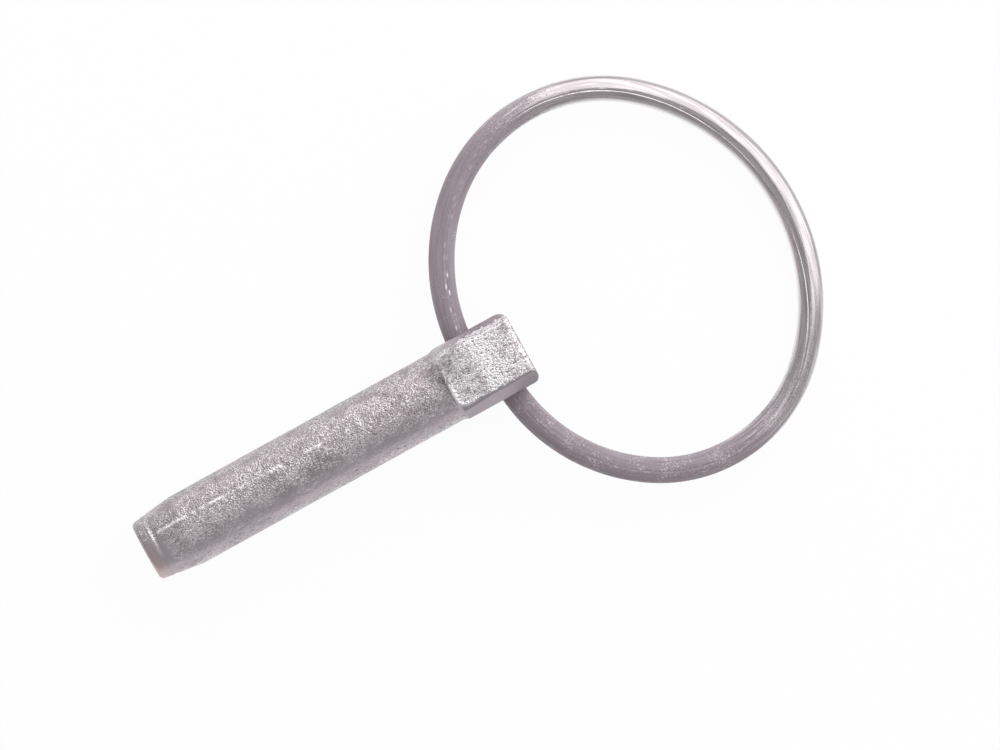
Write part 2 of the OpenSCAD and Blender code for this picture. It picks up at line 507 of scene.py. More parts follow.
def parting_ridge(co, pin):
    """Strength of the jagged ridge that the forging die's parting left along the top of the shank."""
    start = PIN_LOW.x + pin.land_length + pin.ramp_length + pin.collar_length
    if not start < co.x < 0 or co.z < 0:
        return 0
    share = co.x / PIN_LOW.x
    wander = noise_along(co.x, pin.grain_size, WANDER_ROW) * pin.ridge_width
    ridge_angle = share * pin.ridge_tip + (1 - share) * pin.ridge_head
    off = pin.shank_radius * (math.atan2(co.y, co.z) - ridge_angle) + wander
    long_breaks = noise_along(co.x, pin.lump_size, LONG_BREAK_ROW)
    short_breaks = noise_along(co.x, 2 * pin.grain_size, SHORT_BREAK_ROW)
    kept = pin.ridge_gain * share - pin.ridge_loss + pin.ridge_breaks * long_breaks + short_breaks
    return max(0, min(1, kept)) * bell(off, pin.ridge_width)


def nose_lip(co, pin):
    """Strength of the lip along the right half of the nose's top edge and round its corner, which is raised
    and painted brighter.
    """
    corner = pin.nose_radius
    if co.y > 0 or co.x > pin.fold or co.z < PIN_HIGH.z - 2 * pin.nose_drop:
        return 0
    before = max(0, corner - co.x)
    beside = max(0, corner - pin.top_width / 2 - co.y)
    off = math.hypot(before, beside) - (corner - pin.nose_edge)
    fade = max(0, min(1, 2 - co.x / corner))
    return fade * bell(off, pin.lip_width)


def highlit_bead(co, pin):
    """Strength of the painted highlight on the top of the tip's bead."""
    bead = PIN_LOW.x + pin.land_length + pin.ramp_length / 2
    wide = (co.y - pin.bead_middle) / pin.bead_reach
    if abs(wide) > 1 or co.z < 0:
        return 0
    return pin.bead_highlight * (1 - wide**4) * bell(co.x - bead, pin.ridge_width)


def blend_nose(mesh, pin):
    """Blends the left half of the nose's front into the shank."""
    bm = bmesh.new()
    bm.from_mesh(mesh)
    verts = [
        vert
        for vert in bm.verts
        if abs(vert.co.x) < pin.blend_reach
        and vert.co.y > pin.blend_start
        and vert.co.z > 0
        and not in_hole(vert.co, pin)
    ]
    for _ in range(pin.blend):
        bmesh.ops.smooth_vert(
            bm, verts=verts, factor=SMOOTHING_FACTOR, use_axis_x=True, use_axis_y=True, use_axis_z=True
        )
    bm.to_mesh(mesh)
    bm.free()


def roughen(mesh, pin):
    """Gives the forging its lumps, sandy grain, ridge and lip, and marks where its colour is painted
    brighter: a painted highlight along the ridge and the bead, and the lip.
    """
    brightened = mesh.attributes.new("bright_edge", "FLOAT", "POINT")
    moves = []
    for vert in mesh.vertices:
        grain = noise.fractal(vert.co / pin.grain_size, GRAIN_FALLOFF, GRAIN_STEP, GRAIN_OCTAVES)
        lump = noise.noise(vert.co / pin.lump_size)
        rough = sunk(grain) * pin.grain + sunk(lump) * pin.lumps
        ridge = parting_ridge(vert.co, pin)
        lip = nose_lip(vert.co, pin)
        # Painted highlight along the parting ridge and the bead, and the lip painted brighter
        brightened.data[vert.index].value = ridge + lip + highlit_bead(vert.co, pin)
        height = rough * roughness_of_forging(vert.co, pin) + pin.ridge * ridge + pin.lip * lip
        moves.append(vert.normal * height)
    for vert, move in zip(mesh.vertices, moves):
        vert.co += move


def make_forged_pin(pin):
    """The whole forging as one skin: shank, nose and drilled head grown together."""
    bm = bmesh.new()
    add_shank(bm, pin)
    close_up(bm)
    for block in (nose_block(pin), head_block(pin)):
        bm.from_mesh(block.data)
        bpy.data.objects.remove(block)
    piece = new_object("forged_pin", bm)
    skin = piece.modifiers.new("skin", "REMESH")
    skin.mode = "VOXEL"
    skin.voxel_size = pin.voxel
    smooth = piece.modifiers.new("worn_edges", "SMOOTH")
    smooth.factor = SMOOTHING_FACTOR
    smooth.iterations = pin.smoothing
    apply_modifiers(piece)
    blend_nose(piece.data, pin)
    roughen(piece.data, pin)
    shade_smooth(piece.data)
    return piece


# The wire ring


def arc_radii(drop, width, straight, bow_angle, leg_angle):
    """Radii of the bow, side and leg arcs of one side, which turn half a circle in all.

    They follow from how far the side drops along the pin, how wide it goes and where it ends.
    """
    sin_bow, cos_bow = math.sin(bow_angle), math.cos(bow_angle)
    sin_leg, cos_leg = math.sin(leg_angle), math.cos(leg_angle)
    rows = Matrix((
        (sin_bow, 1 - sin_bow, 0),
        (sin_bow, sin_leg - sin_bow, -sin_leg),
        (1 - cos_bow, cos_bow + cos_leg, 1 - cos_leg),
    ))
    return rows.inverted() @ Vector((width, straight, drop))


def side_bends(reach, width, end, bow_angle, leg_angle):
    """The centre, radius and angle of each bend of one side, from the bow to the leg.

    The side lies towards the end's Y, where the wire becomes straight.
    """
    side = math.copysign(1, end.y)
    bow, flank, leg = arc_radii(reach - end.x, width, abs(end.y), bow_angle, leg_angle)
    bow_centre = Vector((reach - bow, 0, 0))
    toward = Vector((math.cos(bow_angle), side * math.sin(bow_angle), 0))
    return [
        (bow_centre, bow, bow_angle),
        (bow_centre + (bow - flank) * toward, flank, math.pi - leg_angle - bow_angle),
        (end + Vector((leg, 0, 0)), leg, leg_angle),
    ]


# The drawing seam's course: places along the wire in millimetres, and there the angle in degrees
# by which the seam lies off the wire's top, towards the outside of the ring
SEAM_COURSE = ((0, -12), (18, -14), (40, -9), (80, -33), (112, 8), (160, 12))


def seam_angle(travel):
    """The seam's angle at a place along the wire, eased between the places of its course."""
    place = travel / MM
    for (start, first), (end, second) in zip(SEAM_COURSE, SEAM_COURSE[1:]):
        if place <= end:
            share = (place - start) / (end - start)
            eased = share * share * (3 - 2 * share)
            return math.radians(first + (second - first) * eased)
    return math.radians(SEAM_COURSE[-1][1])


class WireBender:
    """Draws a wire from a round section.

    Each section is turned so that its first point lies on the drawing seam, and each point is then
    set to the wire's radius with its relief there. Each point is marked with its place on the
    straight wire, with how bright it is worn and with how far it faces up.
    """

    def __init__(self, ring, start, outward, direction):
        self.ring = ring
        self.travel = 0
        self.centre = start
        self.bm = bmesh.new()
        self.place = self.bm.verts.layers.float_vector.new("wire_place")
        self.brightened = self.bm.verts.layers.float.new("bright_edge")
        self.facing = self.bm.verts.layers.float.new("facing_up")
        turn = Matrix((outward, direction.cross(outward), direction)).transposed()
        circle = bmesh.ops.create_circle(
            self.bm, cap_ends=False, segments=ring.wire_sides, radius=ring.wire_radius
        )
        verts = circle["verts"]
        for vert in verts:
            off = math.atan2(vert.co.x, vert.co.y)
            off -= ring.crowding * math.sin(off)
            vert[self.place] = Vector((0, math.sin(off), math.cos(off))) * ring.wire_radius
            vert.co = start + turn @ vert[self.place].yzx
        self.first = verts + list({edge for vert in verts for edge in vert.link_edges})
        self.turn_section(self.first, direction, seam_angle(0))
        self.set_section(self.first)

    def verts_of(self, section):
        """The points of a section."""
        return [item for item in section if isinstance(item, bmesh.types.BMVert)]

    def edges_of(self, section):
        """The edges of a section."""
        return [item for item in section if isinstance(item, bmesh.types.BMEdge)]

    def turn_section(self, section, direction, angle):
        """Turns a section about the wire, from its top towards the outside."""
        turn = Matrix.Rotation(-angle, 3, direction)
        bmesh.ops.rotate(self.bm, verts=self.verts_of(section), cent=self.centre, matrix=turn)

    def burr(self, place):
        """Strength of the burrs beside the seam at a place."""
        ring = self.ring
        along, side, up = place
        off = abs(math.atan2(side, up)) * ring.wire_radius
        lip = bell(off - 2 * ring.seam_width, ring.seam_width)
        return lip * max(0, noise_along(along, ring.burr_length, math.copysign(BURR_ROW, side)))

    def relief(self, place):
        """How far the wire's skin stands out at a place: unevenness, the seam and its burrs."""
        ring = self.ring
        along, side, up = place
        off = math.atan2(side, up) * ring.wire_radius
        groove = bell(off, ring.seam_width)
        if not ring.polish_start < along < ring.polish_end:
            groove *= ring.dull_seam
        uneven = sunk(noise.noise(Vector((along / ring.uneven_stretch, side, up)) / ring.wire_radius))
        return ring.burr * self.burr(place) - ring.seam * groove + ring.unevenness * uneven

    def set_section(self, section):
        """Makes a section the one that the wire has reached, and sets its points."""
        ring = self.ring
        self.section = section
        bright = ring.worn_burrs if self.travel < ring.worn_length else ring.other_burrs
        for vert in self.verts_of(section):
            vert[self.place].x = self.travel
            vert[self.brightened] = bright * self.burr(vert[self.place])
            spoke = (vert.co - self.centre).normalized()
            vert[self.facing] = spoke.z
            vert.co = self.centre + spoke * (ring.wire_radius + self.relief(vert[self.place]))

    def advance(self, section, centre, direction, distance):
        """Moves on to a section that was drawn from the last one."""
        last = seam_angle(self.travel)
        self.travel += distance
        self.centre = centre
        self.turn_section(section, direction, seam_angle(self.travel) - last)
        self.set_section(section)

    def bend(self, pivot, radius, angle):
        """Bends the wire on, clockwise about a pivot."""
        steps = max(1, round(radius * angle / self.ring.bend_step))
        step = angle / steps
        for _ in range(steps):
            turned = bmesh.ops.spin(
                self.bm, geom=self.section, cent=pivot, axis=(0, 0, -1), angle=step, steps=1
            )
            spoke = Matrix.Rotation(-step, 3, "Z") @ (self.centre - pivot)
            direction = spoke.cross(Vector((0, 0, 1))).normalized()
            self.advance(turned["geom_last"], pivot + spoke, direction, radius * step)

    def straight(self, offset):
        """Draws the wire on along a straight line."""
        steps = max(1, round(offset.length / self.ring.bend_step))
        step = offset / steps
        for _ in range(steps):
            drawn = bmesh.ops.extrude_edge_only(self.bm, edges=self.edges_of(self.section))["geom"]
            verts = self.verts_of(drawn)
            bmesh.ops.translate(self.bm, verts=verts, vec=step)
            new = set(verts)
            rim = [edge for edge in self.edges_of(drawn) if new >= set(edge.verts)]
            self.advance(verts + rim, self.centre + step, step.normalized(), step.length)

    def cap(self):
        """Closes both ends of the wire."""
        for section in (self.first, self.section):
            bmesh.ops.contextual_create(self.bm, geom=self.edges_of(section))


def make_wire_ring(ring):
    """The sprung ring, bent from one straight wire through six tangent arcs."""
    radius = ring.wire_radius
    across = RING_HIGH.x - radius - HINGE.x
    down = HINGE.z - RING_LOW.z - radius
    reach = math.hypot(across, down)
    left_end = Vector((-ring.leg_offset, ring.leg_straight, 0))
    right_end = -left_end
    left = side_bends(
        reach, RING_HIGH.y - radius, left_end, ring.left_bow_angle, ring.left_leg_angle
    )
    right = side_bends(
        reach, -RING_LOW.y - radius, right_end, ring.right_bow_angle, ring.right_leg_angle
    )
    start = Vector((-ring.leg_offset, ring.end_gap, 0))
    wire = WireBender(ring, start, Vector((-1, 0, 0)), Vector((0, 1, 0)))
    wire.straight(left_end - start)
    for pivot, bend_radius, bend_angle in left[::-1] + right:
        wire.bend(pivot, bend_radius, bend_angle)
    wire.straight(left_end - start)
    wire.cap()
    tilt = Matrix.Translation(HINGE) @ Matrix.Rotation(math.atan2(down, across), 4, "Y")
    bmesh.ops.transform(wire.bm, matrix=tilt, verts=wire.bm.verts)
    bmesh.ops.recalc_face_normals(wire.bm, faces=wire.bm.faces)
    piece = new_object("wire_ring", wire.bm)
    shade_smooth(piece.data)
    return piece


# Materials


class NodeSheet:
    """A material's node tree with short calls to add and join nodes."""

    def __init__(self, name):
        self.material = bpy.data.materials.new(name)
        self.material.use_nodes = True
        self.tree = self.material.node_tree
        self.tree.nodes.clear()
        self.shader = self.add("ShaderNodeBsdfPrincipled")
        output = self.add("ShaderNodeOutputMaterial")
        self.link(self.shader.outputs["BSDF"], output.inputs["Surface"])

    def add(self, kind, **values):
        """Adds a node and sets its own fields."""
        node = self.tree.nodes.new(kind)
        for name, value in values.items():
            setattr(node, name, value)
        return node

    def link(self, source, target):
        """Joins two sockets."""
        self.tree.links.new(source, target)

    def feed(self, socket, value):
        """Links a socket to another, or sets its value."""
        if isinstance(value, bpy.types.NodeSocket):
            self.link(value, socket)
        else:
            socket.default_value = value

    def scaled(self, vector, scale):
        """A vector scaled along each axis."""
        node = self.add("ShaderNodeMapping")
        node.inputs["Scale"].default_value = scale
        self.link(vector, node.inputs["Vector"])
        return node.outputs["Vector"]

    def millimetres(self):
        """Object coordinates in millimetres."""
        place = self.add("ShaderNodeTexCoord")
        return self.scaled(place.outputs["Object"], (1 / MM, 1 / MM, 1 / MM))

    def attribute(self, name, output="Fac"):
        """A value or vector that the mesh holds for each point."""
        return self.add("ShaderNodeAttribute", attribute_name=name).outputs[output]

    def split(self, vector):
        """The three parts of a vector."""
        node = self.add("ShaderNodeSeparateXYZ")
        self.link(vector, node.inputs["Vector"])
        return node.outputs

    def noise(self, vector, size, detail=2, roughness=0.5, distortion=0):
        """Noise whose features are about one size across."""
        node = self.add("ShaderNodeTexNoise")
        self.link(vector, node.inputs["Vector"])
        node.inputs["Scale"].default_value = 1 / size
        node.inputs["Detail"].default_value = detail
        node.inputs["Roughness"].default_value = roughness
        node.inputs["Distortion"].default_value = distortion
        return node.outputs["Fac"]

    def stretch(self, value, ends, levels=(0, 1)):
        """Maps the range between two ends smoothly to two levels."""
        node = self.add("ShaderNodeMapRange", interpolation_type="SMOOTHSTEP")
        self.link(value, node.inputs["Value"])
        for name, number in zip(("From Min", "From Max", "To Min", "To Max"), (*ends, *levels)):
            node.inputs[name].default_value = number
        return node.outputs["Result"]

    def math(self, operation, first, second):
        """A plain operation on two values."""
        node = self.add("ShaderNodeMath", operation=operation)
        self.feed(node.inputs[0], first)
        self.feed(node.inputs[1], second)
        return node.outputs["Value"]

    def plus(self, first, second):
        """The sum of two values."""
        return self.math("ADD", first, second)

    def times(self, first, second):
        """The product of two values."""
        return self.math("MULTIPLY", first, second)

    def either(self, first, second):
        """The greater of two values."""
        return self.math("MAXIMUM", first, second)

    def blend(self, share, first, second):
        """A blend of two values by a share."""
        node = self.add("ShaderNodeMix", data_type="FLOAT")
        self.feed(node.inputs["Factor"], share)
        self.feed(node.inputs["A"], first)
        self.feed(node.inputs["B"], second)
        return node.outputs["Result"]

    def mix(self, share, first, second):
        """A mix of two colours by a share."""
        node = self.add("ShaderNodeMix", data_type="RGBA")
        self.feed(node.inputs["Factor"], share)
        for name, value in (("A", first), ("B", second)):
            socket = next(s for s in node.inputs if s.name == name and s.type == "RGBA")
            self.feed(socket, value if isinstance(value, bpy.types.NodeSocket) else (*value, 1))
        return next(s for s in node.outputs if s.type == "RGBA")

    def bump(self, height, distance, normal=None):
        """Bump from a height between 0 and 1 over a distance in millimetres."""
        node = self.add("ShaderNodeBump")
        node.inputs["Distance"].default_value = distance * MM
        self.link(height, node.inputs["Height"])
        if normal:
            self.link(normal, node.inputs["Normal"])
        return node.outputs["Normal"]


# The levels between which most of a noise lies
MOST_NOISE = (0.3, 0.7)

# The forging's finish, with sizes and places in millimetres. A pair named for a place says where a
# mark begins to show and where it shows fully, and a pair of levels says the same of a noise. A pair
# of shares holds how much of a mark there is at these two ends.
PATCH_SIZE = 3.5
CLUSTER_SIZE = 1.2
SAND_SIZE = 0.29
CRYSTAL_SIZE = 0.2

# How the sand's noise is scaled along each axis, and how far the sand's edges stray
SAND_DRAW = (0.65, 1, 1)
FRAY = 0.6

# Where the sand lies on the shank
SHANK_SIDE = (-3.2, -1)
SHANK_SIDE_SHARES = (0.25, 1)
SHANK_RIGHT_EDGE = (-4.1, -4.5)
BEHIND_LAND = (1, 2)
TIP_LEFT_SIDE = (0, 1.5)

# Where the sand lies on the head
HEAD_START = (0.2, 0.5)
BELOW_TOP = (1.2, 0.7)
TOP_LEFT_SIDE = (1, 2.5)
LEFT_SPILL = 0.3
TOP_RIGHT_EDGE = 3.5
EDGE_FADE = 0.12
EDGE_FRAY = 0.35
BLEND_END = (2.8, 1.8)
BLEND_SIDE = (0.5, 1.5)
BLEND_LEFT_EDGE = (4.7, 4.2)

# The painted highlight on the head's top, with its whiter band
BAND_START = (4, 5)
BAND_END = (8.6, 7)
BAND_SHARES = (0.75, 1)
FROM_OUTER_END = (0.5, 1.2)
OUTER_END_SHARES = (0.3, 1)
WHITE_GRAIN_LEVELS = (0.4, 0.48)
MOTTLE_LEVELS = (0.4, 0.55)
MOTTLE_SHARES = (0.3, 1)

# Duller patches of zinc, painted shade on the shank's left side, on the head's right strip and on the tip's
# land, and rust
PATCH_LEVELS = (0.4, 0.7)
SHADED_SIDE = (-1, 1.5)
SHADED_SIDE_SHARES = (0, 0.8)
# Painted shade on the head's right strip and on the tip's land
SHADED_STRIP = (-3, -3.6)
SHADED_STRIP_SHARES = (0, 0.3)
LAND_FADE = 0.1
LAND_RIGHT_SIDE = (1, -0.5)
LAND_SHADE_SHARES = (0, 0.12)
RUST_FADE = 1
RUST_SIDE = (1, -3)

# Pits of the sand, and painted glints on its crystals
PIT_LEVELS = (0.46, 0.38)
PIT_SHARES = (0, 0.9)
CLUSTER_LEVELS = (0.36, 0.56)
CRYSTAL_LEVELS = (0.48, 0.6)
SHANK_TO_HEAD_FLECKS = (0.6, 0.9)

# The forging's gloss and relief
FORGED_METAL = 0.95
FORGED_ROUGHNESS = (0.42, 0.28)
SMOOTH_TO_SANDY_RELIEF = (0.2, 1)
GRAIN_RELIEF = 0.09
CRYSTAL_RELIEF = 0.07


class ForgedSheet(NodeSheet):
    """The forging's node sheet, with its noises and the parts of the pin that differ in finish."""

    def __init__(self, pin):
        super().__init__("forged_zinc_plating")
        self.pin = pin
        self.land = (PIN_LOW.x + pin.land_length) / MM
        place = self.millimetres()
        drawn = self.scaled(place, SAND_DRAW)
        self.patches = self.noise(place, PATCH_SIZE, detail=3)
        self.clusters = self.noise(drawn, CLUSTER_SIZE, detail=3, roughness=0.65)
        self.grain = self.noise(drawn, SAND_SIZE, detail=2, roughness=0.6, distortion=0.2)
        self.crystals = self.noise(place, CRYSTAL_SIZE, detail=1)
        self.along, self.across, self.up = self.split(place)
        self.fray = self.stretch(self.clusters, MOST_NOISE, (-FRAY, FRAY))
        self.frayed_along = self.plus(self.along, self.fray)
        self.frayed_across = self.plus(self.across, self.fray)
        self.in_head = self.stretch(self.along, HEAD_START)
        self.on_top = self.times(self.near_top(), self.within_right_edge())
        sand = self.blend(self.in_head, self.on_shank(), self.on_head())
        self.sandy = self.times(sand, self.behind_land())

    def near_top(self):
        """Share of the head that lies at its top, and lower on the left, where the sand spills over."""
        top = PIN_HIGH.z / MM
        spill = self.times(self.plus(self.fray, LEFT_SPILL), self.stretch(self.across, TOP_LEFT_SIDE))
        return self.stretch(self.plus(self.up, spill), [top - depth for depth in BELOW_TOP])

    def within_right_edge(self):
        """Share of the head that lies within the top's right edge and the nose's round corner."""
        corner = self.pin.nose_radius / MM
        before = self.either(self.math("SUBTRACT", corner, self.along), 0)
        beside = self.either(self.math("SUBTRACT", corner - TOP_RIGHT_EDGE, self.across), 0)
        squares = self.plus(self.math("POWER", before, 2), self.math("POWER", beside, 2))
        off = self.plus(self.math("SQRT", squares, 0), self.times(self.fray, EDGE_FRAY))
        return self.stretch(off, (corner + EDGE_FADE, corner - EDGE_FADE))

    def on_shank(self):
        """Share of sand on the shank, which is smoother on its right side."""
        side = self.stretch(self.frayed_across, SHANK_SIDE, SHANK_SIDE_SHARES)
        return self.either(side, self.stretch(self.frayed_across, SHANK_RIGHT_EDGE))

    def on_head(self):
        """Share of sand on the head: its top, and the blend of the nose's left half into the shank."""
        blend = self.times(
            self.stretch(self.frayed_along, BLEND_END), self.stretch(self.frayed_across, BLEND_SIDE)
        )
        return self.either(self.on_top, self.times(blend, self.stretch(self.across, BLEND_LEFT_EDGE)))

    def behind_land(self):
        """Share of sand near the tip, whose land is smooth on the right."""
        behind = self.stretch(self.along, [self.land + distance for distance in BEHIND_LAND])
        return self.either(behind, self.stretch(self.across, TIP_LEFT_SIDE))

    def plating(self):
        """The zinc's colour: sandy with duller patches and a painted shade on the shank's left side, and
        smooth with a painted shade on the head's right strip and the tip's land.
        """
        pin = self.pin
        # Painted shade along the shank's left side, ahead of the head
        shaded_left_side = self.times(
            self.stretch(self.across, SHADED_SIDE, SHADED_SIDE_SHARES), self.stretch(self.in_head, (1, 0))
        )
        dull_and_shaded = self.either(self.stretch(self.patches, PATCH_LEVELS), shaded_left_side)
        # Painted shade darkens the smooth zinc on the head's right strip and on the tip's land
        shaded_strip = self.times(self.in_head, self.stretch(self.across, SHADED_STRIP, SHADED_STRIP_SHARES))
        shaded_land = self.times(
            self.stretch(self.along, (self.land + LAND_FADE, self.land - LAND_FADE), LAND_SHADE_SHARES),
            self.stretch(self.across, LAND_RIGHT_SIDE),
        )
        smooth = self.mix(self.either(shaded_strip, shaded_land), pin.smooth, pin.pits_and_shade)
        return self.mix(self.sandy, smooth, self.mix(dull_and_shaded, pin.base, pin.dull))

    def speckled(self, plating):
        """The plating with the sand's dark pits and painted glints on its crystals."""
        pin = self.pin
        pit = self.times(self.stretch(self.grain, PIT_LEVELS, PIT_SHARES), self.sandy)
        where = self.times(self.stretch(self.clusters, CLUSTER_LEVELS), self.sandy)
        shown = self.times(where, self.stretch(self.in_head, (0, 1), SHANK_TO_HEAD_FLECKS))
        fleck = self.times(self.stretch(self.crystals, CRYSTAL_LEVELS), shown)
        return self.mix(fleck, self.mix(pit, plating, pin.pits_and_shade), pin.flecks)

    def highlighted(self, speckled):
        """The speckled plating with painted highlights: a whiter band on the head's top, and brighter lines
        along the ridge, the bead and the lip.
        """
        band = self.times(
            self.stretch(self.frayed_along, BAND_START), self.stretch(self.frayed_along, BAND_END)
        )
        outer_end = [PIN_HIGH.x / MM - distance for distance in FROM_OUTER_END]
        inside = self.stretch(self.along, outer_end, OUTER_END_SHARES)
        white = self.times(inside, self.stretch(band, (0, 1), BAND_SHARES))
        on_top = self.times(self.times(self.in_head, self.on_top), white)
        mottled = self.either(self.stretch(self.clusters, MOTTLE_LEVELS, MOTTLE_SHARES), band)
        bright = self.times(self.times(self.stretch(self.grain, WHITE_GRAIN_LEVELS), on_top), mottled)
        return self.mix(self.either(bright, self.attribute("bright_edge")), speckled, self.pin.flecks)

    def rusted(self, plating):
        """The plating with a faint brown tint at the tip's right side."""
        at_tip = self.stretch(self.along, (self.land + RUST_FADE, self.land - RUST_FADE))
        return self.mix(self.times(at_tip, self.stretch(self.across, RUST_SIDE)), plating, self.pin.rust)


def forged_zinc(pin):
    """Sandy zinc plating on a rough forging, smoother on the head's sides, the right side and the tip."""
    sheet = ForgedSheet(pin)
    shader = sheet.shader.inputs
    speckled = sheet.speckled(sheet.plating())
    sheet.link(sheet.rusted(sheet.highlighted(speckled)), shader["Base Color"])
    sheet.link(sheet.stretch(sheet.grain, MOST_NOISE, FORGED_ROUGHNESS), shader["Roughness"])
    shader["Metallic"].default_value = FORGED_METAL
    relief = sheet.stretch(sheet.sandy, (0, 1), SMOOTH_TO_SANDY_RELIEF)
    coarse = sheet.bump(sheet.times(sheet.grain, relief), GRAIN_RELIEF)
    fine = sheet.bump(sheet.times(sheet.crystals, relief), CRYSTAL_RELIEF, normal=coarse)
    sheet.link(fine, shader["Normal"])
    return sheet.material


# The wire's finish, with sizes in millimetres. Levels and shares are pairs as above, and a pair by
# polish goes from the dull wire to the polished wire.
STREAK_SIZE = 0.28
BLOTCH_SIZE = 2.2
SPECK_SIZE = 0.25
STREAK_LEVELS = (0.35, 0.7)
DULL_SPECK_LEVELS = (0.45, 0.3)
DULL_SPECK_SHARES = (0, 0.7)
BLOTCH_LEVELS = (0.45, 0.58)
FIRST_LEG_LOSS = 0.1
BRIGHT_SPECK_LEVELS = (0.52, 0.64)
BRIGHT_SPECK_SHARES = (0, 0.55)
LINE_LEVELS = (0.4, 0.62)
# How far up the wire faces where the painted reflection on its sides begins and where it shows fully
SIDE_FACING = (0.6, 0.25)
WIRE_METAL = 0.97
ROUGHNESS_BY_POLISH = (0.95, 0.24)
STREAKS_BY_POLISH = (0.4, 1)
SPECKS_BY_POLISH = (1, 0.1)
STREAK_RELIEF = 0.035
SPECK_RELIEF = 0.06

# How the streaks' noise is scaled along the wire
STREAK_DRAW = 0.04


class WireSheet(NodeSheet):
    """The wire's node sheet, with its noises and the share of its polish."""

    def __init__(self, ring):
        super().__init__("wire_zinc_plating")
        self.ring = ring
        wire_place = self.attribute("wire_place", "Vector")
        place = self.millimetres()
        self.travel = self.split(wire_place)[0]
        streaked = self.scaled(wire_place, (STREAK_DRAW / MM, 1 / MM, 1 / MM))
        self.streaks = self.noise(streaked, STREAK_SIZE, detail=3)
        self.blotches = self.noise(place, BLOTCH_SIZE, detail=4, roughness=0.65)
        self.specks = self.noise(place, SPECK_SIZE, detail=2, roughness=0.6)
        self.polish = self.polished_share()

    def polished_share(self):
        """Share of the polish, which starts and ends raggedly along the wire."""
        start, end, half = self.ring.polish_start, self.ring.polish_end, self.ring.polish_fade / 2
        ragged = self.stretch(self.streaks, MOST_NOISE, (-half, half))
        dotted = self.stretch(self.specks, MOST_NOISE, (-half / 2, half / 2))
        frayed = self.plus(self.plus(self.travel, ragged), dotted)
        begun = self.stretch(frayed, (start - half, start + half))
        return self.times(begun, self.stretch(frayed, (end + half, end - half)))

    def matte(self):
        """The dull wire's colour: streaked and specked zinc with flecks, and worn burrs."""
        ring = self.ring
        zinc = self.mix(self.stretch(self.streaks, STREAK_LEVELS), ring.base, ring.dull)
        specked = self.mix(self.stretch(self.specks, DULL_SPECK_LEVELS, DULL_SPECK_SHARES), zinc, ring.dull)
        last_leg = (ring.polish_end, ring.polish_end + ring.polish_fade)
        loss = self.stretch(self.travel, last_leg, (FIRST_LEG_LOSS, 0))
        where = self.stretch(self.math("SUBTRACT", self.blotches, loss), BLOTCH_LEVELS)
        fleck = self.times(self.stretch(self.specks, BRIGHT_SPECK_LEVELS, BRIGHT_SPECK_SHARES), where)
        return self.mix(self.either(fleck, self.attribute("bright_edge")), specked, ring.flecks)

    def bright(self):
        """The polished wire's colour: drawing lines on its top, and a painted reflection on its sides."""
        ring = self.ring
        drawn = self.mix(self.stretch(self.streaks, LINE_LEVELS), ring.polished, ring.lines)
        return self.mix(self.stretch(self.attribute("facing_up"), SIDE_FACING), drawn, ring.edges)


def wire_zinc(ring):
    """Zinc plating on drawn wire: polished round the bow and dull on the legs, with streaks along it."""
    sheet = WireSheet(ring)
    shader = sheet.shader.inputs
    sheet.link(sheet.mix(sheet.polish, sheet.matte(), sheet.bright()), shader["Base Color"])
    sheet.link(sheet.stretch(sheet.polish, (0, 1), ROUGHNESS_BY_POLISH), shader["Roughness"])
    shader["Metallic"].default_value = WIRE_METAL
    grooved = sheet.times(sheet.streaks, sheet.stretch(sheet.polish, (0, 1), STREAKS_BY_POLISH))
    lengthwise = sheet.bump(grooved, STREAK_RELIEF)
    pebbled = sheet.times(sheet.specks, sheet.stretch(sheet.polish, (0, 1), SPECKS_BY_POLISH))
    sheet.link(sheet.bump(pebbled, SPECK_RELIEF, normal=lengthwise), shader["Normal"])
    return sheet.material


# The stage


def shows_background(tree):
    """A value that is 1 for rays on which the plain white background shows."""
    path = tree.nodes.new("ShaderNodeLightPath")
    rays = ("Is Camera Ray", "Is Glossy Ray", "Is Transmission Ray")
    shown, *others = [path.outputs[name] for name in rays]
    for ray in others:
        either = tree.nodes.new("ShaderNodeMath")
        either.operation = "MAXIMUM"
        tree.links.new(shown, either.inputs[0])
        tree.links.new(ray, either.inputs[1])
        shown = either.outputs["Value"]
    return shown


def floor_material(stage):
    """A pale floor that shows nearly white and keeps a faint shadow."""
    material = bpy.data.materials.new("pale_floor")
    material.use_nodes = True
    tree = material.node_tree
    tree.nodes.clear()
    output = tree.nodes.new("ShaderNodeOutputMaterial")
    mix = tree.nodes.new("ShaderNodeMixShader")
    matt = tree.nodes.new("ShaderNodeBsdfDiffuse")
    matt.inputs["Color"].default_value = (*stage.floor_colour, 1)
    white = tree.nodes.new("ShaderNodeEmission")
    share = tree.nodes.new("ShaderNodeMath")
    share.operation = "MULTIPLY"
    share.inputs[1].default_value = stage.floor_white
    tree.links.new(shows_background(tree), share.inputs[0])
    tree.links.new(share.outputs["Value"], mix.inputs["Fac"])
    tree.links.new(matt.outputs["BSDF"], mix.inputs[1])
    tree.links.new(white.outputs["Emission"], mix.inputs[2])
    tree.links.new(mix.outputs["Shader"], output.inputs["Surface"])
    return material


def make_floor(stage):
    """A wide round floor under the part."""
    bm = bmesh.new()
    bmesh.ops.create_circle(
        bm,
        cap_ends=True,
        segments=FLOOR_SIDES,
        radius=stage.floor_radius,
        matrix=Matrix.Translation((0, 0, cad_box[0][2])),
    )
    floor = new_object("floor", bm)
    floor.data.materials.append(floor_material(stage))
    return floor


def light_world(stage):
    """Even surroundings, greyer than the floor."""
    world = bpy.data.worlds.new("studio")
    bpy.context.scene.world = world
    world.use_nodes = True
    background = world.node_tree.nodes["Background"]
    background.inputs["Color"].default_value = (1, 1, 1, 1)
    background.inputs["Strength"].default_value = stage.surroundings


